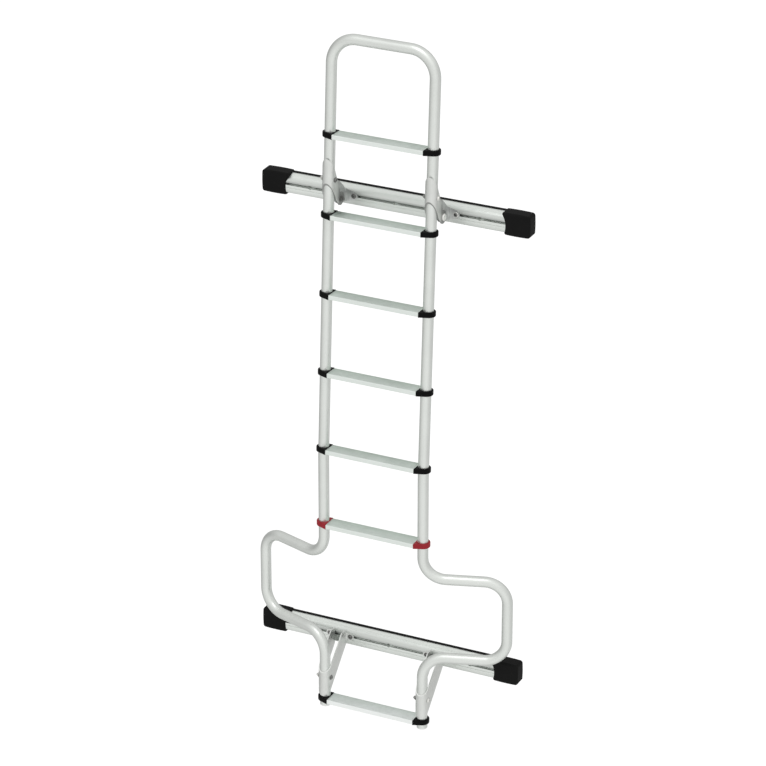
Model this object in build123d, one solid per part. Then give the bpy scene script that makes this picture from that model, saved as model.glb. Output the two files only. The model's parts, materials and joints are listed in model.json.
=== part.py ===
from build123d import *
import math
import os

# Rear door ladder: a bent tube frame with seven treads, carried by two slotted
# crossbars that lie on the door. X runs to the right, Y towards the door, Z up.
# The origin is the middle of the lower crossbar's door-side face.

# Tube frame
tube_d = 30.0
tube_wall = 2.0
tube_spacing = 300.0  # centre to centre of the two uprights
tube_standoff = 133.0  # door-side face of the lower bar to the lower tubes' axis
lean = 3.2  # degrees that the upper part leans to the door
knee_bend_r = 400.0
hoop_bend_r = 72.0
hoop_rise = 268.0  # top tread to the hoop's centre line
loop_reach = 233.0  # upright to the outer bar of a side loop
loop_sweep = 18.5  # degrees that a side loop is turned back to the door
loop_top = 444.0  # centre lines of a loop's two arms, above the bottom tread
loop_bottom = 200.0
loop_bend_r = 64.0
foot_drop = 20.0  # bottom tread to the cut end of the tube

# Treads, hollow extrusions with a ribbed top
bottom_tread_drop = 150.0  # middle of the lower bar to the bottom tread
marked_tread_rise = 550.0  # bottom tread to the red-collared tread
tread_pitch = 225.0
leaning_treads = 5
knee_below_tread = 24.0
tread_depth = 47.0
tread_thickness = 12.4
tread_wall = 2.2
tread_edge_r = 1.5
tread_forward = 3.4  # middle of the tread in front of the tube axis
groove_count = 11
groove_pitch = 3.9
groove_width = 1.5
groove_depth = 0.9

# Collars
collar_r = 20.5
collar_height = 15.0
collar_mouth = 17.0  # tube axis to the face that the tread butts against
collar_mouth_rim = 1.6  # collar round the tread, in front and behind
collar_edge_r = 2.5
tongue_length = 18.0

# Foot plugs
plug_rim = 4.0
plug_spigot = 18.0
plug_edge_r = 2.0

# Crossbar section: depth from the door-side face, height from the bar's middle
bar_half_height = 25.5
bar_front = 36.0
bar_wall = 2.4
strip_thickness = 9.0
strip_top_lip = 2.8  # how far the rubber stands above the metal
strip_edge_r = 2.4
bar_top_flat = 4.0
bar_bottom_r = 4.0
slot_height = 1.0
slot_width = 6.6
slot_channel_width = 13.0
slot_channel_depth = 8.0
channel_wall = 2.0
lip_groove_drop = 11.0  # fine step line below the slot
lip_groove = 1.2
entry_hole_d = 11.4
entry_hole_pitch = 250.0
bar_length = 776.0

# End caps
cap_end_wall = 7.0
cap_proud = 3.5  # in front of the bar
cap_below = 7.0
cap_above = 3.4  # over the rubber's top edge
cap_back_gap = 1.0  # behind the cap, so that the rubber meets the door first
cap_swell = 1.2  # crown of the top, bottom and end
cap_edge_r = 6.5  # round the front face
cap_back_r = 1.0
cap_corner_r = 8.0  # corners of the front view, outside and at the mouth
cap_mouth_r = 5.0
cap_length_top = 86.0  # outer end to the mouth, at its top, waist and bottom
cap_length_waist = 72.5
cap_length_bottom = 77.0
cap_waist_drop = 5.0

# Clamps, bent from flat strip
strip_metal = 3.0
bend_r = 2.5  # inside of a bend
tab_half_height = 10.5
tab_bolt_offset = 32.0  # tube centre to a bolt in the slot

# Upper clamps: a strap over the upright, and a bracket that it tilts on
pivot_behind = 37.0  # tube axis to the tilt pivot
pivot_above_tread = 36.0  # above the tread next below it
strap_width = 30.0
strap_slope = 64.0  # degrees
strap_middle = 87.8  # strap's middle at the tube axis, above that tread
strap_neck = 46.0  # from there down the slope, to where the lobe starts
strap_lobe_r = 18.0
strap_bolt_rise = 99.0  # bolt through strap and tube, above that tread
ear_out = 10.0  # bracket's middle to the outside of an ear
ear_reach = 51.0  # pivot to the face of the bar
ear_rise = 9.0  # slot to pivot
ear_lobe_r = 14.5
ear_peak_rise = 43.0  # pivot to the middle of an ear's rounded top corner
ear_peak_back = 2.5
ear_peak_r = 6.0
ear_foot_half = 18.0
bush_d = 16.0  # bush on an ear, as far as the strap

# Lower clamps: one strip round the tube, with both ends on the bar
lower_strip_width = 51.0
lower_slope = 45.0  # degrees
lower_clamp_rise = 66.0  # bottom tread to the strip's middle at the tube axis
lower_leg_top = 21.0  # where the legs are cut level, above the bar's middle

# Bolts
pivot_bolt_d = 8.0
pivot_head_d = 20.0
pivot_head_height = 5.0
pivot_nut_d = 15.0  # over the corners
pivot_nut_height = 6.5
clamp_bolt_d = 6.0
clamp_head_d = 11.0
clamp_head_height = 3.6
clamp_nut_d = 11.5
clamp_nut_height = 5.0
dome_share = 0.7  # rounded part of a head's height
socket_d = 5.5  # hexagon socket over its corners
socket_depth = 2.0
slot_head_width = 10.6
slot_head_height = 4.0

# Clearances
fit_gap = 0.3  # strip round a tube, bar in a cap, bush beside a strap
push_gap = 0.15  # collar on a tube, tongue in a tread, plug in a foot
pin_gap = 0.08  # bolt in its holes

tube_r = tube_d / 2
half_spacing = tube_spacing / 2
tube_y = -tube_standoff
bottom_tread_z = -bottom_tread_drop
marked_tread_z = bottom_tread_z + marked_tread_rise
knee_z = marked_tread_z + tread_pitch - knee_below_tread
top_tread_up = knee_below_tread + tread_pitch * (leaning_treads - 1)
bar_half = bar_length / 2
cap_end = bar_half + fit_gap + cap_end_wall
strap_in = tube_r + fit_gap
strap_out = strap_in + strip_metal
clamp_hole_d = clamp_bolt_d + 2 * pin_gap
pivot_hole_d = pivot_bolt_d + 2 * pin_gap

# Places on the straight lower part, and on the part that leans from the knee
lower_part = Location((0, tube_y, 0))
leaning_part = Location((0, tube_y, knee_z), (-lean, 0, 0))

# The tilt pivot, from the tread below it, then the upper bar from the pivot
tread_under_pivot = top_tread_up - tread_pitch
pivot_up = tread_under_pivot + pivot_above_tread
strap_bolt_up = tread_under_pivot + strap_bolt_rise
pivot_point = (leaning_part * Location((0, pivot_behind, pivot_up))).position
upper_bar_y = pivot_point.Y + ear_reach + bar_front
upper_bar_z = pivot_point.Z - ear_rise - slot_height
lower_bar = Location((0, 0, 0))
upper_bar = Location((0, upper_bar_y, upper_bar_z))

# Section plane across a bar: first axis away from the door, second axis up
across_bar = Plane(origin=(0, 0, 0), x_dir=(0, -1, 0), z_dir=(-1, 0, 0))
# Side plane of the frame: first axis towards the door, second axis up
side_on = Plane(origin=(0, 0, 0), x_dir=(0, 1, 0), z_dir=(1, 0, 0))
# Front plane: first axis to the right, second axis up
front_on = Plane(origin=(0, 0, 0), x_dir=(1, 0, 0), z_dir=(0, -1, 0))

nodes = {}


def bent_tube(points, radii):
    path = FilletPolyline(*points, radius=radii)
    wall = Circle(tube_r) - Circle(tube_r - tube_wall)
    return sweep(Plane(path @ 0, z_dir=path % 0) * wall, path=path)


def rod(diameter, start, end):
    """Round bar along X from one x to the other."""
    along_x = Plane(origin=(start, 0, 0), z_dir=(1, 0, 0))
    return extrude(along_x * Circle(diameter / 2), amount=end - start)


def lean_point(x, up):
    return (leaning_part * Location((x, 0, up))).position


def make_hoop():
    top = top_tread_up + hoop_rise
    points = [
        lean_point(-half_spacing, top_tread_up),
        lean_point(-half_spacing, top),
        lean_point(half_spacing, top),
        lean_point(half_spacing, top_tread_up),
    ]
    return bent_tube(points, hoop_bend_r)


def make_upright(side):
    points = [
        (side * half_spacing, tube_y, marked_tread_z),
        (side * half_spacing, tube_y, knee_z),
        lean_point(side * half_spacing, top_tread_up),
    ]
    hole = Pos(side * half_spacing, 0, strap_bolt_up) * rod(clamp_hole_d, -tube_d, tube_d)
    return bent_tube(points, knee_bend_r) - leaning_part * hole


def make_loop(side):
    x_in = side * half_spacing
    x_out = side * (half_spacing + loop_reach * math.cos(math.radians(loop_sweep)))
    y_out = tube_y + loop_reach * math.sin(math.radians(loop_sweep))
    z_high = bottom_tread_z + loop_top
    z_low = bottom_tread_z + loop_bottom
    points = [
        (x_in, tube_y, marked_tread_z),
        (x_in, tube_y, z_high),
        (x_out, y_out, z_high),
        (x_out, y_out, z_low),
        (x_in, tube_y, z_low),
        (x_in, tube_y, bottom_tread_z - foot_drop),
    ]
    hole = Pos(x_in, 0, bottom_tread_z + lower_clamp_rise) * rod(clamp_hole_d, -tube_d, tube_d)
    return bent_tube(points, loop_bend_r) - lower_part * hole


def make_plug(side):
    rim = extrude(Circle(tube_r), amount=-plug_rim)
    rim = fillet(rim.edges().sort_by(Axis.Z)[0], plug_edge_r)
    spigot = extrude(Circle(tube_r - tube_wall - push_gap), amount=plug_spigot)
    return Location((side * half_spacing, tube_y, bottom_tread_z - foot_drop)) * (rim + spigot)


def make_tread():
    """Hollow tread along X with a ribbed top."""
    profile = RectangleRounded(tread_depth, tread_thickness, tread_edge_r)
    profile -= Rectangle(tread_depth - 2 * tread_wall, tread_thickness - 2 * tread_wall)
    groove = Rectangle(groove_width, 2 * groove_depth)
    top = Pos(0, tread_thickness / 2)
    for place in GridLocations(groove_pitch, 0, groove_count, 1):
        profile -= top * place * groove
    half = half_spacing - collar_mouth - push_gap
    return Pos(0, -tread_forward) * extrude(side_on * profile, amount=half, both=True)


def make_collar(side):
    """Collar round one upright, with a tongue that enters the tread."""
    half_mouth = tread_depth / 2 + collar_mouth_rim
    mouth = Edge.make_line(
        (collar_mouth, -tread_forward - half_mouth), (collar_mouth, -tread_forward + half_mouth)
    )
    outline = make_hull([*Circle(collar_r).edges(), mouth])
    # Cut the round flat where the tread butts against it
    kept = 2 * (half_mouth + tread_forward + collar_r)
    outline &= Pos(collar_mouth - kept / 2) * Rectangle(kept, kept)
    body = extrude(outline, amount=collar_height / 2, both=True)
    ends = body.faces().filter_by(Axis.Z).edges()
    rims = [edge for edge in ends if edge.center().X < collar_mouth - push_gap]
    body = fillet(rims, collar_edge_r)
    tongue = Box(
        tongue_length,
        tread_depth - 2 * tread_wall - 2 * push_gap,
        tread_thickness - 2 * tread_wall - 2 * push_gap,
    )
    body += Pos(collar_mouth + tongue_length / 2, -tread_forward) * tongue
    body -= Cylinder(tube_r + push_gap, 2 * collar_height)
    if side > 0:
        body = mirror(body, about=Plane.YZ)
    return Pos(side * half_spacing) * body


def clamp_plan(legs):
    """Bent strip seen along the tube: round the front, with two straight legs."""
    outer = Circle(strap_out) + Pos(0, legs / 2) * Rectangle(2 * strap_out, legs)
    inner = Circle(strap_in) + Pos(0, legs) * Rectangle(2 * strap_in, 2 * legs)
    return outer - inner


def make_strap(side):
    """Strap over the front of an upright, sloping down to a round lobe at the pivot."""
    run = (pivot_behind + strap_out) / math.cos(math.radians(strap_slope)) + strap_width
    down_slope = Pos(0, tread_under_pivot + strap_middle) * Rot(0, 0, -strap_slope)
    outline = down_slope * Pos(strap_neck - run / 2) * Rectangle(run, strap_width)
    neck = Edge.make_line((strap_neck, -strap_width / 2), (strap_neck, strap_width / 2))
    lobe = Pos(pivot_behind, pivot_up) * Circle(strap_lobe_r)
    outline += make_hull([*lobe.edges(), down_slope * neck])
    slab = extrude(side_on * outline, amount=strap_out, both=True)
    plan = Pos(0, 0, tread_under_pivot) * clamp_plan(pivot_behind + strap_lobe_r)
    strap = slab & extrude(plan, amount=run + strap_width)
    strap -= Pos(0, pivot_behind, pivot_up) * rod(pivot_hole_d, -tube_d, tube_d)
    strap -= Pos(0, 0, strap_bolt_up) * rod(clamp_hole_d, -tube_d, tube_d)
    return leaning_part * Pos(side * half_spacing) * strap


def make_pivot_bracket(side):
    """Plate on the bar's face, with two bushed ears that hold the tilt pivot."""
    ends = [Pos(x) * Circle(tab_half_height) for x in (-tab_bolt_offset, tab_bolt_offset)]
    middle = Rectangle(2 * ear_out, 2 * ear_foot_half)
    flange = make_hull([*ends[0].edges(), *ends[1].edges(), *middle.edges()])
    for x in (-tab_bolt_offset, tab_bolt_offset):
        flange -= Pos(x) * Circle(clamp_hole_d / 2)
    bracket = extrude(front_on * flange, amount=strip_metal)

    lobe = Pos(-ear_reach, ear_rise) * Circle(ear_lobe_r)
    foot = Edge.make_line((-strip_metal, -ear_foot_half), (-strip_metal, ear_foot_half))
    peak = Pos(ear_peak_back - ear_reach, ear_rise + ear_peak_rise) * Circle(ear_peak_r)
    profile = make_hull([*lobe.edges(), *peak.edges(), foot])
    bracket += extrude(side_on * profile, amount=ear_out, both=True)
    bracket -= extrude(side_on * profile, amount=ear_out - strip_metal, both=True)
    pivot = Pos(0, -ear_reach, ear_rise)
    bush_end = strap_in - fit_gap
    bracket += pivot * rod(bush_d, ear_out, bush_end)
    bracket += pivot * rod(bush_d, -bush_end, -ear_out)
    bracket -= pivot * rod(pivot_hole_d, -tube_d, tube_d)
    face = Pos(side * half_spacing, -bar_front, slot_height)
    return upper_bar * face * bracket


def dome(diameter, height):
    """Domed head, its seat on XY and its crown up Z."""
    head = extrude(Circle(diameter / 2), amount=height)
    crown = head.edges().filter_by(GeomType.CIRCLE).sort_by(Axis.Z)[-1]
    return fillet(crown, dome_share * height)


def button_head():
    """Clamp bolt's domed head with a hexagon socket."""
    socket = Pos(0, 0, clamp_head_height) * RegularPolygon(socket_d / 2, 6)
    return dome(clamp_head_d, clamp_head_height) - extrude(socket, amount=-socket_depth)


def cross_bolt(diameter, head, nut_d, nut_height):
    """Bolt along X through a strap: its head on the right, its nut on the left."""
    bolt = rod(diameter, -strap_out, strap_out)
    right = Plane(origin=(strap_out, 0, 0), z_dir=(1, 0, 0))
    left = Plane(origin=(-strap_out, 0, 0), z_dir=(-1, 0, 0))
    bolt += right.location * head
    bolt += extrude(left * RegularPolygon(nut_d / 2, 6), amount=nut_height)
    return bolt


def make_pivot_bolt(side):
    """Coach bolt on the tilt axis, its plain head on the outside of the ladder."""
    head = dome(pivot_head_d, pivot_head_height)
    bolt = cross_bolt(pivot_bolt_d, head, pivot_nut_d, pivot_nut_height)
    if side < 0:
        bolt = mirror(bolt, about=Plane.YZ)
    return leaning_part * Pos(side * half_spacing, pivot_behind, pivot_up) * bolt


def make_strap_bolt(side):
    bolt = cross_bolt(clamp_bolt_d, button_head(), clamp_nut_d, clamp_nut_height)
    return leaning_part * Pos(side * half_spacing, 0, strap_bolt_up) * bolt


def make_clamp_bolt(side):
    bolt = cross_bolt(clamp_bolt_d, button_head(), clamp_nut_d, clamp_nut_height)
    return lower_part * Pos(side * half_spacing, 0, bottom_tread_z + lower_clamp_rise) * bolt


def make_lower_bracket(side):
    """One strip: tab, leg, round the tube, leg, tab."""
    reach = tube_standoff - bar_front
    tab_end = tab_bolt_offset + tab_half_height
    plan = clamp_plan(reach)
    for way in (-1, 1):
        tab = Rectangle(tab_end - strap_in, strip_metal)
        plan += Pos(way * (strap_in + tab_end) / 2, reach - strip_metal / 2) * tab
    corners = plan.vertices()
    inside = [v for v in corners if is_at(v, strap_out, reach - strip_metal)]
    plan = fillet(inside, bend_r)
    outside = [v for v in plan.vertices() if is_at(v, strap_in, reach)]
    plan = fillet(outside, bend_r + strip_metal)

    # The legs' side view, cut level at the top, and the tabs' front view
    run = 2 * reach / math.cos(math.radians(lower_slope)) + lower_strip_width
    middle = Pos(0, bottom_tread_z + lower_clamp_rise)
    legs = middle * Rot(0, 0, lower_slope) * Rectangle(run, lower_strip_width)
    legs -= Pos(reach, lower_leg_top + run / 2) * Rectangle(run, run)
    slab = extrude(side_on * legs, amount=strap_out, both=True)
    tabs = SlotOverall(2 * tab_end, 2 * tab_half_height)
    for offset in (-tab_bolt_offset, tab_bolt_offset):
        tabs -= Pos(offset) * Circle(clamp_hole_d / 2)
    slab += Pos(0, reach, slot_height) * extrude(front_on * tabs, amount=strip_metal + bend_r)

    bracket = slab & extrude(Pos(0, 0, bottom_tread_z) * plan, amount=run)
    hole = Pos(0, 0, bottom_tread_z + lower_clamp_rise)
    bracket -= hole * rod(clamp_hole_d, -tube_d, tube_d)
    return lower_part * Pos(side * half_spacing) * bracket


def is_at(vertex, x, y):
    """Whether a corner of a plan lies at this place, on the left or on the right."""
    return (Vector(abs(vertex.X), vertex.Y) - Vector(x, y)).length < pin_gap


def make_slot_bolts(bar, side):
    """Two bolts from a clamp's tabs into the bar's slot."""
    front = -bar_front - strip_metal
    inside = -bar_front + bar_wall
    seat = Plane(origin=(0, front, 0), x_dir=(1, 0, 0), z_dir=(0, -1, 0))
    bolt = seat.location * button_head()
    bolt += extrude(seat * Circle(clamp_bolt_d / 2), amount=front - inside)
    bolt += Pos(0, inside + slot_head_height / 2) * Box(
        slot_head_width, slot_head_height, slot_head_width
    )
    places = [
        Pos(side * half_spacing + offset, 0, slot_height)
        for offset in (-tab_bolt_offset, tab_bolt_offset)
    ]
    return bar * Compound(children=[place * bolt for place in places])


def bar_outline():
    """Outer shape of the metal section: curved top, flat slotted front."""
    top = bar_half_height
    back = strip_thickness
    crest = (back + bar_top_flat, top)
    nose = (bar_front, slot_height + slot_width / 2)
    lines = [
        Line((back, -top), (back, top)),
        Line((back, top), crest),
        TangentArc(crest, nose, tangent=(1, 0)),
        Line(nose, (bar_front, -top)),
        Line((bar_front, -top), (back, -top)),
    ]
    face = make_face(lines)
    corner = face.vertices().sort_by(lambda v: v.X - v.Y)[-1]
    return fillet(corner, bar_bottom_r)


def make_bar():
    """Hollow extrusion with a T-slot, and a web behind the slot's channel."""
    section = bar_outline()
    channel_back = bar_front - bar_wall - slot_channel_depth
    walls_depth = bar_wall + slot_channel_depth + channel_wall
    walls = Pos(bar_front - walls_depth / 2, slot_height) * Rectangle(
        walls_depth, slot_channel_width + 2 * channel_wall
    )
    web = Pos((strip_thickness + channel_back) / 2, slot_height) * Rectangle(
        channel_back - strip_thickness, channel_wall
    )
    section -= offset(section, -bar_wall) - walls - web
    slot = Pos(bar_front, slot_height) * Rectangle(2 * bar_wall, slot_width)
    channel = Pos(channel_back + slot_channel_depth / 2, slot_height)
    section -= slot + channel * Rectangle(slot_channel_depth, slot_channel_width)
    step = Pos(bar_front, slot_height - lip_groove_drop)
    section -= step * Rectangle(2 * lip_groove, lip_groove)
    bar = extrude(across_bar * section, amount=bar_half, both=True)
    drill = extrude(front_on * Circle(entry_hole_d / 2), amount=bar_wall, both=True)
    for x in (-entry_hole_pitch, 0, entry_hole_pitch):
        bar -= Pos(x, -bar_front, slot_height) * drill
    return bar


def strip_outline():
    height = 2 * bar_half_height + strip_top_lip
    face = Pos(strip_thickness / 2, strip_top_lip / 2) * Rectangle(strip_thickness, height)
    return fillet(face.vertices().group_by(Axis.Y)[-1], strip_edge_r)


def make_strip():
    return extrude(across_bar * strip_outline(), amount=bar_half, both=True)


def cap_outline():
    """Front view of the right cap: swollen outside, waisted at the mouth."""
    low = -bar_half_height - cap_below
    high = bar_half_height + strip_top_lip + cap_above
    far = cap_end - cap_swell
    mouth_top = (cap_end - cap_length_top, high - cap_swell)
    mouth_bottom = (cap_end - cap_length_bottom, low + cap_swell)
    far_top = (far, high - cap_swell)
    far_bottom = (far, low + cap_swell)
    lines = [
        ThreePointArc(mouth_top, (far - cap_length_top / 2, high), far_top),
        ThreePointArc(far_top, (cap_end, (high + low) / 2), far_bottom),
        ThreePointArc(far_bottom, (far - cap_length_bottom / 2, low), mouth_bottom),
        ThreePointArc(mouth_bottom, (cap_end - cap_length_waist, -cap_waist_drop), mouth_top),
    ]
    face = make_face(lines)
    face = fillet(face.vertices().sort_by(Axis.X)[2:], cap_corner_r)
    return fillet(face.vertices().sort_by(Axis.X)[:2], cap_mouth_r)


def make_cap(side):
    """Moulded cap over a bar's end, with a soft edge round its front."""
    depth = bar_front + cap_proud - cap_back_gap
    body = Pos(0, -cap_back_gap) * extrude(front_on * cap_outline(), amount=depth)
    body = fillet(body.faces().sort_by(Axis.Y)[0].edges(), cap_edge_r)
    body = fillet(body.faces().sort_by(Axis.Y)[-1].edges(), cap_back_r)
    inside = offset(bar_outline() + strip_outline(), fit_gap)
    inside += Pos(0, strip_top_lip / 2) * Rectangle(
        2 * strip_thickness, 2 * bar_half_height + strip_top_lip + 2 * fit_gap
    )
    body -= extrude(across_bar * inside, amount=-(cap_end - cap_end_wall))
    if side < 0:
        body = mirror(body, about=Plane.YZ)
    return body


def build():
    nodes["hoop_tube"] = make_hoop()
    for name, side in (("left", -1), ("right", 1)):
        nodes[f"{name}_upright_tube"] = make_upright(side)
        nodes[f"{name}_loop_tube"] = make_loop(side)
        nodes[f"{name}_foot_plug"] = make_plug(side)
        nodes[f"{name}_upper_strap"] = make_strap(side)
        nodes[f"{name}_pivot_bracket"] = make_pivot_bracket(side)
        nodes[f"{name}_pivot_bolt"] = make_pivot_bolt(side)
        nodes[f"{name}_strap_bolt"] = make_strap_bolt(side)
        nodes[f"{name}_lower_bracket"] = make_lower_bracket(side)
        nodes[f"{name}_clamp_bolt"] = make_clamp_bolt(side)

    tread = make_tread()
    collars = Compound(children=[make_collar(-1), make_collar(1)])
    tread_places = [
        Location((0, tube_y, bottom_tread_z)),
        Location((0, tube_y, marked_tread_z)),
    ]
    for step in range(leaning_treads):
        tread_places.append(leaning_part * Pos(0, 0, knee_below_tread + step * tread_pitch))
    for number, place in enumerate(tread_places, start=1):
        nodes[f"tread_{number}"] = place * tread
        nodes[f"tread_{number}_collars"] = place * collars

    for name, bar in (("lower", lower_bar), ("upper", upper_bar)):
        nodes[f"{name}_crossbar"] = bar * make_bar()
        nodes[f"{name}_rubber_strip"] = bar * make_strip()
        for hand, side in (("left", -1), ("right", 1)):
            nodes[f"{name}_{hand}_end_cap"] = bar * make_cap(side)
            nodes[f"{name}_{hand}_slot_bolts"] = make_slot_bolts(bar, side)


build()
os.makedirs("parts", exist_ok=True)
for node, shape in nodes.items():
    export_step(shape, f"parts/{node}.step")
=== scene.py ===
import bpy
import json
import math
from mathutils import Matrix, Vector


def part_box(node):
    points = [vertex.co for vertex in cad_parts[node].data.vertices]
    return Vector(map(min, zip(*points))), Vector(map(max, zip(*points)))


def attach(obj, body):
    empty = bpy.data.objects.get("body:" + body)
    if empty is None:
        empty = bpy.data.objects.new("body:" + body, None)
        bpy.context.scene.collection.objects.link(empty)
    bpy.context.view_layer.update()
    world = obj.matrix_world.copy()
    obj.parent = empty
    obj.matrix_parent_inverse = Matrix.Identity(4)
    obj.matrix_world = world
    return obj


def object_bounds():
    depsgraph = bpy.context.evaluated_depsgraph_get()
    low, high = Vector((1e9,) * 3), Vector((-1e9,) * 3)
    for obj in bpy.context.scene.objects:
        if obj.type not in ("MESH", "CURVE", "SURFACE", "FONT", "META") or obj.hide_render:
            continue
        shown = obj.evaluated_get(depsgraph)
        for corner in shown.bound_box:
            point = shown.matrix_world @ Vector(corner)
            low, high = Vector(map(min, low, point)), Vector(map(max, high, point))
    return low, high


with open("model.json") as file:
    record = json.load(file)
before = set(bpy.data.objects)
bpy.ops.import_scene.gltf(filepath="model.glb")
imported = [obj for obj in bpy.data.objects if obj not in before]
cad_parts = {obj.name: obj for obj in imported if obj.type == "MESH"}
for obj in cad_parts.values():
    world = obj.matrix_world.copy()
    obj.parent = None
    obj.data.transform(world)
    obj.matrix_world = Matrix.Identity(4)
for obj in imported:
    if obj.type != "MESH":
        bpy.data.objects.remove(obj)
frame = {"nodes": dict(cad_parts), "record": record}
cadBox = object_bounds()
cadNodes = frame["nodes"]
print("frame loaded:", len(cadNodes), "nodes")


# one wrapped socket: sums on it add Math nodes to its tree
class Sock:
    def __init__(self, maker, out):
        self.maker = maker
        self.out = out

    def calc(self, operation, first, second):
        return self.maker.node("ShaderNodeMath", {"operation": operation}, {0: first, 1: second})

    def __add__(self, other):
        return self.calc("ADD", self, other)

    def __radd__(self, other):
        return self.calc("ADD", other, self)

    def __sub__(self, other):
        return self.calc("SUBTRACT", self, other)

    def __rsub__(self, other):
        return self.calc("SUBTRACT", other, self)

    def __mul__(self, other):
        return self.calc("MULTIPLY", self, other)

    def __rmul__(self, other):
        return self.calc("MULTIPLY", other, self)

    def __truediv__(self, other):
        return self.calc("DIVIDE", self, other)

    def __rtruediv__(self, other):
        return self.calc("DIVIDE", other, self)

    def atLeast(self, other):
        return self.calc("MAXIMUM", self, other)


# a node tree of any kind, and the one way that nodes get into it
class Maker:
    def __init__(self, tree):
        self.tree = tree
        tree.nodes.clear()

    def node(self, kind, settings, sockets, out=0):
        made = self.tree.nodes.new(kind)
        for key, value in settings.items():
            setattr(made, key, value)
        for key, value in sockets.items():
            for single in value if isinstance(value, list) else [value]:  # a Join takes a list
                if isinstance(single, Sock):
                    self.tree.links.new(single.out, made.inputs[key])
                else:
                    made.inputs[key].default_value = single
        return Sock(self, made.outputs[out] if len(made.outputs) else None)


class Finish(Maker):
    def __init__(self, name):
        self.material = bpy.data.materials.new(name)
        self.material.use_nodes = True
        super().__init__(self.material.node_tree)
        self.place = self.node("ShaderNodeTexCoord", {}, {}, "Object")

    def stretched(self, scale):
        sockets = {"Vector": self.place, "Scale": scale}
        return self.node("ShaderNodeMapping", {"vector_type": "POINT"}, sockets)

    def noise(self, where, scale, detail=2.0, rough=0.5):
        sockets = {"Vector": where, "Scale": scale, "Detail": detail, "Roughness": rough}
        return self.node("ShaderNodeTexNoise", {}, sockets, "Fac")

    def between(self, value, low, high):
        sockets = {"Value": value, "From Min": low, "From Max": high}
        return self.node("ShaderNodeMapRange", {"clamp": True}, sockets)

    def blendColours(self, factor, first, second):
        # the colour sockets of a Mix node are its inputs 6 and 7, and its output 2
        kind = {"data_type": "RGBA", "blend_type": "MIX"}
        return self.node("ShaderNodeMix", kind, {0: factor, 6: first, 7: second}, 2)

    # follows the stops (place, value) along one axis, counted from start
    def along(self, axis, start, stops):
        place = self.node("ShaderNodeSeparateXYZ", {}, {"Vector": self.place}, axis) - start
        value = stops[0][1]
        for (near, first), (far, second) in zip(stops, stops[1:]):
            value = value + self.between(place, near, far) * (second - first)
        return value

    # 1 on faces that look along an axis, either way; low and high limit the squared share of the normal
    def facing(self, axis, low, high):
        normal = self.node("ShaderNodeTexCoord", {}, {}, "Normal")
        share = self.node("ShaderNodeSeparateXYZ", {}, {"Vector": normal}, axis)
        return self.between(share * share, low, high)

    def bump(self, height, strength, distance):
        sockets = {"Height": height, "Strength": strength, "Distance": distance}
        return self.node("ShaderNodeBump", {}, sockets)

    def close(self, sockets):
        shader = self.node("ShaderNodeBsdfPrincipled", {}, sockets)
        self.node("ShaderNodeOutputMaterial", {}, {"Surface": shader})
        return self.material


def grey(level, tint=(1.0, 1.0, 1.0)):
    return (level * tint[0], level * tint[1], level * tint[2], 1.0)


noiseMean = 0.5
# shares of the noises, and the ranges of them that are stretched to 0..1
metalMix = {
    "lineTone": 0.45, "cloudTone": 0.55, "toneRange": (0.34, 0.66),
    "markRange": (0.52, 0.68), "pitRange": (0.70, 0.78), "edgeRange": (0.05, 0.12),
    "pitDull": 0.35, "dullTone": 0.45,
    "cloudRough": 0.12, "grainRough": 0.10, "markRough": 0.06,
    "lineRelief": 0.6, "grainRelief": 0.4, "pitRelief": 0.5, "depth": 0.0002,
}
mouldMix = {
    "patchTone": 0.7, "sparkTone": 0.3, "toneRange": (0.3, 0.7), "scuffRange": (0.60, 0.74),
    "sparkRough": 0.18, "patchRough": 0.1, "scuffRough": 0.08, "scuffRelief": 0.3, "depth": 0.0003,
}


# satin metal: lines of the drawing or rolling, fine grain, soft handling marks, a few duller pits and
# painted shade on the cut edges; painted light also makes it lighter or darker along an axis, standing in
# for light and shade
def satinMetal(name, look, low):
    f = Finish(name)
    mix = metalMix
    lines = f.noise(f.stretched(look["lineScale"]), 1.0, detail=3.0, rough=0.6)
    grain = f.noise(f.place, look["grain"])
    clouds = f.noise(f.place, look["clouds"], detail=3.0, rough=0.55)
    marks = f.between(f.noise(f.place, look["marks"], detail=4.0, rough=0.6), *mix["markRange"])
    pits = f.between(f.noise(f.place, look["pits"], detail=1.0), *mix["pitRange"])
    tone = f.between(lines * mix["lineTone"] + clouds * mix["cloudTone"], *mix["toneRange"])
    tone = tone * look.get("mottle", 1.0)
    # painted light and shade along an axis, counted from the node's own low corner
    for axis, stops in look.get("fade", {}).items():
        tone = tone + f.along(axis, low["XYZ".index(axis)], stops)
    # painted light and shade along an axis, counted from the origin
    for axis, stops in look.get("wear", {}).items():
        tone = tone + f.along(axis, 0.0, stops)
    darkest, brightest = look["tone"]
    brightTint = look.get("brightTint", look["tint"])
    metal = f.blendColours(tone, grey(darkest, look["tint"]), grey(brightest, brightTint))
    pitsAndEdgeShade = pits * mix["pitDull"]
    if "cutEdges" in look:  # painted shade on the cut edges, the only faces of a bent strip that look up or down
        pitsAndEdgeShade = pitsAndEdgeShade + f.facing("Z", *mix["edgeRange"]) * look["cutEdges"]
    colour = f.blendColours(pitsAndEdgeShade, metal, grey(darkest * mix["dullTone"], look["tint"]))
    roughness = look["rough"] + (clouds - noiseMean) * mix["cloudRough"]
    roughness = roughness + (grain - noiseMean) * mix["grainRough"] + marks * mix["markRough"]
    relief = lines * mix["lineRelief"] + grain * mix["grainRelief"] - pits * mix["pitRelief"]
    return f.close({
        "Base Color": colour,
        "Metallic": look["metal"],
        "Roughness": roughness,
        "Normal": f.bump(relief, look["bump"], mix["depth"]),
    })


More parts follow.
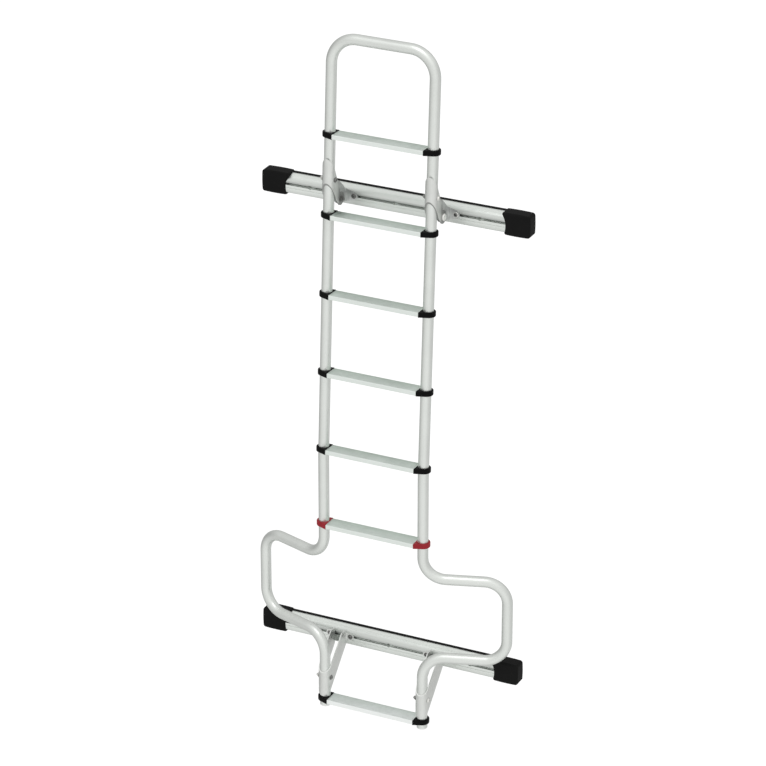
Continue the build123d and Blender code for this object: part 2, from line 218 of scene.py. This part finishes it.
# moulded plastic or rubber, with the fine sparked texture of its tool and paler scuffs
def moulded(name, look):
    f = Finish(name)
    mix = mouldMix
    spark = f.noise(f.place, look["spark"], detail=4.0, rough=0.65)
    patches = f.noise(f.place, look["patches"])
    streaks = f.noise(f.stretched(look["scuffScale"]), 1.0, detail=3.0, rough=0.7)
    scuffs = f.between(streaks, *mix["scuffRange"])
    tone = f.between(patches * mix["patchTone"] + spark * mix["sparkTone"], *mix["toneRange"])
    colour = f.blendColours(tone, look["dark"], look["light"])
    colour = f.blendColours(scuffs * look["scuffs"], colour, look["scuffed"])
    roughness = look["rough"] + (spark - noiseMean) * mix["sparkRough"]
    roughness = roughness + (patches - noiseMean) * mix["patchRough"] + scuffs * mix["scuffRough"]
    return f.close({
        "Base Color": colour,
        "Roughness": roughness,
        "Specular IOR Level": look["gloss"],
        "Normal": f.bump(spark - scuffs * mix["scuffRelief"], look["bump"], mix["depth"]),
    })


# looks by material slot, or by the end of a node's name; stops are (metres, share of the brighter tone) of
# painted light and shade, counted from the node's own low corner, or from the origin where they run across
# the whole ladder
metals = {
    "frame_tube": {
        "tone": (0.74, 0.80), "tint": (0.975, 1.006, 0.975),
        "lineScale": (420.0, 420.0, 420.0), "grain": 2600.0, "clouds": 16.0, "marks": 7.0, "pits": 900.0,
        "rough": 0.40, "metal": 0.95, "bump": 0.10,
    },
    "tread": {
        "tone": (0.66, 0.96), "tint": (0.90, 1.04, 0.93), "brightTint": (0.98, 1.01, 1.0),
        "lineScale": (5.0, 260.0, 260.0), "grain": 1800.0, "clouds": 22.0, "marks": 11.0, "pits": 700.0,
        "rough": 0.40, "metal": 0.95, "bump": 0.16,
        # painted light: each is brighter in front and darker and greener towards the back, and the bottom
        # one, and a little the top ones, brighter still
        "mottle": 0.16,
        "fade": {"Y": [(0.0, 0.56), (0.008, 0.55), (0.024, 0.44), (0.038, 0.28), (0.045, 0.04)]},
        "wear": {"Z": [(-0.13, 0.36), (0.35, 0.0), (1.2, 0.0), (1.5, 0.08)]},
    },
    "crossbar": {
        "tone": (0.50, 0.95), "tint": (0.97, 1.01, 0.975),
        "lineScale": (4.0, 320.0, 320.0), "grain": 2400.0, "clouds": 12.0, "marks": 9.0, "pits": 800.0,
        "rough": 0.38, "metal": 0.95, "bump": 0.10,
        # painted shade in the slot, in a band above it and at the bottom edge, and a painted highlight
        # along the top under the rubber
        "mottle": 0.16,
        "fade": {
            "Z": [(0.004, 0.38), (0.011, 0.58), (0.0225, 0.63), (0.023, -0.06), (0.0315, -0.06),
                  (0.0355, 0.28), (0.0415, 0.28), (0.046, 0.57), (0.051, 0.86)],
        },
    },
    "clamp": {
        "tone": (0.70, 0.77), "tint": (0.98, 1.0, 0.975),
        "lineScale": (700.0, 60.0, 60.0), "grain": 1500.0, "clouds": 30.0, "marks": 18.0, "pits": 600.0,
        "rough": 0.42, "metal": 0.95, "bump": 0.14,
    },
    "upper_strap": {
        "tone": (0.20, 0.80), "tint": (0.98, 1.0, 0.975),
        "lineScale": (300.0, 300.0, 40.0), "grain": 1500.0, "clouds": 30.0, "marks": 18.0, "pits": 600.0,
        "rough": 0.42, "metal": 0.95, "bump": 0.14, "cutEdges": 0.55,
        # duller towards the door
        # painted shade: darker towards the door, and on its cut edges
        "mottle": 0.12,
        "fade": {"Y": [(0.020, 0.84), (0.034, 0.60), (0.042, 0.15)]},
    },
    "pivot_bracket": {
        "tone": (0.30, 0.74), "tint": (0.98, 1.0, 0.985),
        "lineScale": (260.0, 260.0, 18.0), "grain": 1500.0, "clouds": 45.0, "marks": 18.0, "pits": 600.0,
        "rough": 0.42, "metal": 0.95, "bump": 0.20, "cutEdges": 0.45,
        # darker than the other clamp parts as painted shade between tube and bar, streaked, with painted
        # light at its front, back and lower end and painted shade on its cut edges
        "mottle": 0.8,
        "fade": {
            "Y": [(0.0, 0.12), (0.020, 0.0), (0.050, 0.05), (0.062, 0.25)],
            "Z": [(0.0, 0.34), (0.032, 0.0)],
        },
    },
    "bolt": {
        "tone": (0.16, 0.96), "tint": (1.0, 1.0, 0.97),
        "lineScale": (300.0, 300.0, 300.0), "grain": 3000.0, "clouds": 60.0, "marks": 90.0, "pits": 1500.0,
        "rough": 0.36, "metal": 1.0, "bump": 0.10,
        # painted light: brighter at the outer ends, most on the right, and darker on the inner left
        "mottle": 0.06,
        "wear": {"X": [(-0.165, 0.55), (-0.135, 0.06), (0.135, 0.16), (0.165, 0.85)]},
    },
    "slot_bolts": {
        "tone": (0.15, 0.25), "tint": (1.0, 1.0, 0.98),
        "lineScale": (300.0, 300.0, 300.0), "grain": 3000.0, "clouds": 60.0, "marks": 90.0, "pits": 1500.0,
        "rough": 0.34, "metal": 0.95, "bump": 0.10,
    },
}
mouldings = {
    "black_collar": {
        "dark": grey(0.002), "light": grey(0.004), "scuffed": grey(0.02), "scuffs": 0.25,
        "spark": 2200.0, "patches": 40.0, "scuffScale": (60.0, 60.0, 160.0),
        "rough": 0.50, "gloss": 0.07, "bump": 0.20,
    },
    "red_collar": {
        "dark": (0.25, 0.010, 0.017, 1.0), "light": (0.34, 0.015, 0.025, 1.0),
        "scuffed": (0.40, 0.05, 0.06, 1.0), "scuffs": 0.30,
        "spark": 2200.0, "patches": 40.0, "scuffScale": (60.0, 60.0, 160.0),
        "rough": 0.45, "gloss": 0.20, "bump": 0.20,
    },
    "end_cap": {
        "dark": grey(0.0068), "light": grey(0.0098), "scuffed": grey(0.02), "scuffs": 0.30,
        "spark": 1500.0, "patches": 18.0, "scuffScale": (20.0, 70.0, 70.0),
        "rough": 0.55, "gloss": 0.05, "bump": 0.28,
    },
    "rubber": {
        "dark": grey(0.006), "light": grey(0.012), "scuffed": grey(0.03), "scuffs": 0.35,
        "spark": 900.0, "patches": 30.0, "scuffScale": (12.0, 90.0, 90.0),
        "rough": 0.72, "gloss": 0.12, "bump": 0.30,
    },
    "foot_plug": {
        "dark": grey(0.80), "light": grey(0.88), "scuffed": grey(0.50), "scuffs": 0.30,
        "spark": 1800.0, "patches": 50.0, "scuffScale": (80.0, 80.0, 80.0),
        "rough": 0.40, "gloss": 0.5, "bump": 0.12,
    },
}
ready = {}


# one finish for each look, or one for each node where painted light fades across the piece
def finishOf(key, node, low):
    name = node if "fade" in metals.get(key, {}) else key
    if name not in ready and key in metals:
        ready[name] = satinMetal(name, metals[key], low)
    elif name not in ready:
        ready[name] = moulded(name, mouldings[key])
    return ready[name]


for row in frame["record"]["subparts"]:
    node, slot = row["node"], row["material_slot"]
    key = next((ending for ending in metals if node.endswith(ending)), slot)
    mesh = cadNodes[node].data
    mesh.materials.clear()
    mesh.materials.append(finishOf(key, node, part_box(node)[0]))
print("finishes set:", len(ready))


def addObject(name, data):
    obj = bpy.data.objects.new(name, data)
    bpy.context.scene.collection.objects.link(obj)
    return obj


# washers under the bolts' heads and nuts, and the threaded ends that stand out of the nuts
fasteners = {
    "seat": 0.0183,  # middle of a clamp to its outer face
    "headTall": 0.0036, "headWide": 0.011,  # button head of a slot bolt
    "washer": {"Inner Radius": 0.0046, "Outer Radius": 0.0072, "Thickness": 0.0009},
    "pivotWasher": {"Inner Radius": 0.0060, "Outer Radius": 0.0098, "Thickness": 0.0012},
    "thread": {"Radius": 0.0029, "Pitch": 0.0010, "Length": 0.0024},
    "pivotThread": {"Radius": 0.0039, "Pitch": 0.00125, "Length": 0.0030},
    "names": {"washer": "washers", "pivotWasher": "pivot_washers",
              "thread": "bolt_ends", "pivotThread": "pivot_bolt_ends"},
    # points in each round, and parts of a thread as shares of its radius, pitch or length
    "washerPoints": 40, "turnPoints": 18, "crestPoints": 5, "corePoints": 24,
    "turnRadius": 0.94, "crestRadius": 0.42, "coreTop": 0.78, "coreBottom": 0.92, "coreDepth": 1.15,
}


# a tree that sets one shape, made by shape(maker, size), on every point and turns it to the point's own way
def pointTree(name, inputs, shape):
    tree = bpy.data.node_groups.new(name, "GeometryNodeTree")
    face = tree.interface
    face.new_socket("Geometry", in_out="INPUT", socket_type="NodeSocketGeometry")
    for key in inputs:
        face.new_socket(key, in_out="INPUT", socket_type="NodeSocketFloat")
    face.new_socket("Geometry", in_out="OUTPUT", socket_type="NodeSocketGeometry")
    m = Maker(tree)
    points = m.node("NodeGroupInput", {}, {}, "Geometry")
    made = shape(m, {key: Sock(m, points.out.node.outputs[key]) for key in inputs})
    way = m.node("GeometryNodeInputNamedAttribute", {"data_type": "FLOAT_VECTOR"}, {"Name": "way"})
    turn = m.node("FunctionNodeAlignRotationToVector", {"axis": "Z"}, {"Vector": way})
    sockets = {"Points": points, "Instance": made, "Rotation": turn}
    placed = m.node("GeometryNodeInstanceOnPoints", {}, sockets)
    solid = m.node("GeometryNodeRealizeInstances", {}, {"Geometry": placed})
    painted = m.node("GeometryNodeSetMaterial", {}, {"Geometry": solid, "Material": ready["bolt"]})
    m.node("NodeGroupOutput", {}, {"Geometry": painted})
    return tree


def washerShape(m, size):
    wide = size["Outer Radius"] - size["Inner Radius"]
    ring = m.node("GeometryNodeCurvePrimitiveCircle", {}, {
        "Resolution": fasteners["washerPoints"], "Radius": size["Inner Radius"] + wide * 0.5,
    })
    edge = m.node("GeometryNodeCurvePrimitiveQuadrilateral", {}, {
        "Width": wide, "Height": size["Thickness"],
    })
    swept = m.node("GeometryNodeCurveToMesh", {}, {"Curve": ring, "Profile Curve": edge})
    lift = m.node("ShaderNodeCombineXYZ", {}, {"Z": size["Thickness"] * 0.5})
    return m.node("GeometryNodeTransform", {}, {"Geometry": swept, "Translation": lift})


def threadShape(m, size):
    turns = size["Length"] / size["Pitch"]
    spiral = m.node("GeometryNodeCurveSpiral", {}, {
        "Resolution": fasteners["turnPoints"], "Rotations": turns, "Height": size["Length"],
        "Start Radius": size["Radius"] * fasteners["turnRadius"],
        "End Radius": size["Radius"] * fasteners["turnRadius"],
    })
    crest = m.node("GeometryNodeCurvePrimitiveCircle", {}, {
        "Resolution": fasteners["crestPoints"], "Radius": size["Pitch"] * fasteners["crestRadius"],
    })
    thread = m.node("GeometryNodeCurveToMesh", {}, {
        "Curve": spiral, "Profile Curve": crest, "Fill Caps": True,
    })
    core = m.node("GeometryNodeMeshCone", {}, {
        "Vertices": fasteners["corePoints"], "Depth": size["Length"] * fasteners["coreDepth"],
        "Radius Top": size["Radius"] * fasteners["coreTop"],
        "Radius Bottom": size["Radius"] * fasteners["coreBottom"],
    })
    return m.node("GeometryNodeJoinGeometry", {}, {"Geometry": [thread, core]})


trees = {
    "washer": pointTree("washerTree", fasteners["washer"], washerShape),
    "thread": pointTree("threadTree", fasteners["thread"], threadShape),
}


# (place, way) of what goes on each bolt, sorted by body, tree and size
def fastenerPlaces():
    found = {}

    def put(body, tree, size, place, way):
        found.setdefault((body, tree, size), []).append((place, way))

    for node in cadNodes:
        if "_bolt" not in node:
            continue
        low, high = (Vector(c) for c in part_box(node))
        middle = (low + high) / 2
        if node.endswith("_slot_bolts"):
            body = "upper_bar" if node.startswith("upper") else "ladder"
            seatY = low.y + fasteners["headTall"]
            for x in (low.x + fasteners["headWide"] / 2, high.x - fasteners["headWide"] / 2):
                put(body, "washer", "washer", (x, seatY, middle.z), (0.0, -1.0, 0.0))
            continue
        # the clamp's own middle is that of the strap or bracket that the bolt goes through
        side = -1 if node.startswith("left") else 1
        pivot = "pivot" in node
        nutSide = -side if pivot else -1
        holder = node.split("_")[0] + ("_lower_bracket" if "clamp" in node else "_upper_strap")
        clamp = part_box(holder)
        midX = (clamp[0][0] + clamp[1][0]) / 2
        nutX = midX + nutSide * fasteners["seat"]
        headX = midX - nutSide * fasteners["seat"]
        endX = low.x if nutSide < 0 else high.x
        washer, thread = ("pivotWasher", "pivotThread") if pivot else ("washer", "thread")
        put("ladder", "washer", washer, (nutX, middle.y, middle.z), (nutSide, 0.0, 0.0))
        put("ladder", "thread", thread, (endX, middle.y, middle.z), (nutSide, 0.0, 0.0))
        if not pivot:  # a coach bolt has no washer under its head
            put("ladder", "washer", washer, (headX, middle.y, middle.z), (-nutSide, 0.0, 0.0))
    return found


def fastenerMesh(name, tree, sizes, places):
    mesh = bpy.data.meshes.new(name)
    mesh.from_pydata([place for place, way in places], [], [])
    ways = mesh.attributes.new("way", "FLOAT_VECTOR", "POINT")
    for spot, (place, way) in zip(ways.data, places):
        spot.vector = way
    holder = addObject(name, mesh)
    grow = holder.modifiers.new("fasteners", "NODES")
    grow.node_group = tree
    for item in tree.interface.items_tree:
        if item.name in sizes and item.in_out == "INPUT":
            grow[item.identifier] = sizes[item.name]
    grown = holder.evaluated_get(bpy.context.evaluated_depsgraph_get())
    plain = bpy.data.meshes.new_from_object(grown)
    bpy.data.objects.remove(holder)
    return plain


for (body, tree, size), places in fastenerPlaces().items():
    name = body + "_" + fasteners["names"][size]
    plain = fastenerMesh(name, trees[tree], fasteners[size], places)
    piece = addObject(name, plain)
    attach(piece, body)
    print("fasteners:", name, len(plain.polygons), "faces")


# floor, light and camera
stage = {
    "floorSize": 80.0, "floorTone": 0.12, "floorMottle": 0.99, "floorSpots": 3.0, "floorRough": 0.9,
    "floorGlow": 0.97, "gap": 0.0005,
    # soft light all round, and how much more comes from each way
    "sky": (1.0, 1.0, 0.99, 1.0), "glow": 0.38,
    "lobes": {
        (0, -1, 0): 0.50, (0, 0, 1): 0.44, (0, 0, -1): 0.28, (1, 0, 0): 0.28, (0, 1, 0): 0.09,
    },
    "key": {"place": (0.26, -3.05, 7.24), "aim": (0.0, -0.1, 0.9), "size": 2.5, "watts": 60.0},
}


def aim(obj, target):
    way = Vector(target) - obj.location
    obj.rotation_euler = way.to_track_quat("-Z", "Y").to_euler()


half = stage["floorSize"] / 2
floorZ = cadBox[0].z - stage["gap"]
floorMesh = bpy.data.meshes.new("floor")
corners = [(-half, -half, floorZ), (half, -half, floorZ), (half, half, floorZ), (-half, half, floorZ)]
floorMesh.from_pydata(corners, [], [(0, 1, 2, 3)])
floor = addObject("floor", floorMesh)
paint = Finish("paleFloor")
spots = paint.noise(paint.place, stage["floorSpots"], detail=3.0)
darker = grey(stage["floorTone"] * stage["floorMottle"])
floorMesh.materials.append(paint.close({
    "Base Color": paint.blendColours(spots, darker, grey(stage["floorTone"])),
    "Roughness": stage["floorRough"], "Specular IOR Level": 0.0,
    "Emission Color": (1.0, 1.0, 1.0, 1.0), "Emission Strength": stage["floorGlow"],
}))
floor.visible_diffuse = False  # the white floor is a backdrop, and the lights alone shape the metal
floor.visible_glossy = False

world = bpy.data.worlds.new("studio")
bpy.context.scene.world = world
world.use_nodes = True
sky = Maker(world.node_tree)
outward = sky.node("ShaderNodeTexCoord", {}, {}, "Generated")
glow = stage["glow"]
for way, power in stage["lobes"].items():
    toward = {0: outward, 1: way}
    share = sky.node("ShaderNodeVectorMath", {"operation": "DOT_PRODUCT"}, toward, "Value")
    glow = glow + share.atLeast(0.0) * power
light = sky.node("ShaderNodeBackground", {}, {"Color": stage["sky"], "Strength": glow})
sky.node("ShaderNodeOutputWorld", {}, {"Surface": light})

lamp = bpy.data.lights.new("key", "AREA")
lamp.shape = "SQUARE"
lamp.size = stage["key"]["size"]
lamp.energy = stage["key"]["watts"]
keyLight = addObject("key", lamp)
keyLight.location = stage["key"]["place"]
aim(keyLight, stage["key"]["aim"])

# viewing angle, distance and lens that fit the picture
camera = {
    "azimuth": 25.76, "elevation": 24.92, "distance": 10.1314, "target": (0.0240, -0.1214, 0.8510),
    "lens": 177.58, "sensor": 36.0, "farthest": 200.0,
}
around = math.radians(camera["azimuth"])
above = math.radians(camera["elevation"])
level = math.cos(above)
back = Vector((math.sin(around) * level, -math.cos(around) * level, math.sin(above)))
lens = bpy.data.cameras.new("camera")
lens.sensor_width = camera["sensor"]
lens.lens = camera["lens"]
lens.clip_end = camera["farthest"]
eye = addObject("camera", lens)
eye.location = Vector(camera["target"]) + back * camera["distance"]
aim(eye, camera["target"])
bpy.context.scene.camera = eye
bpy.context.scene.view_settings.view_transform = "Standard"
print("stage set")
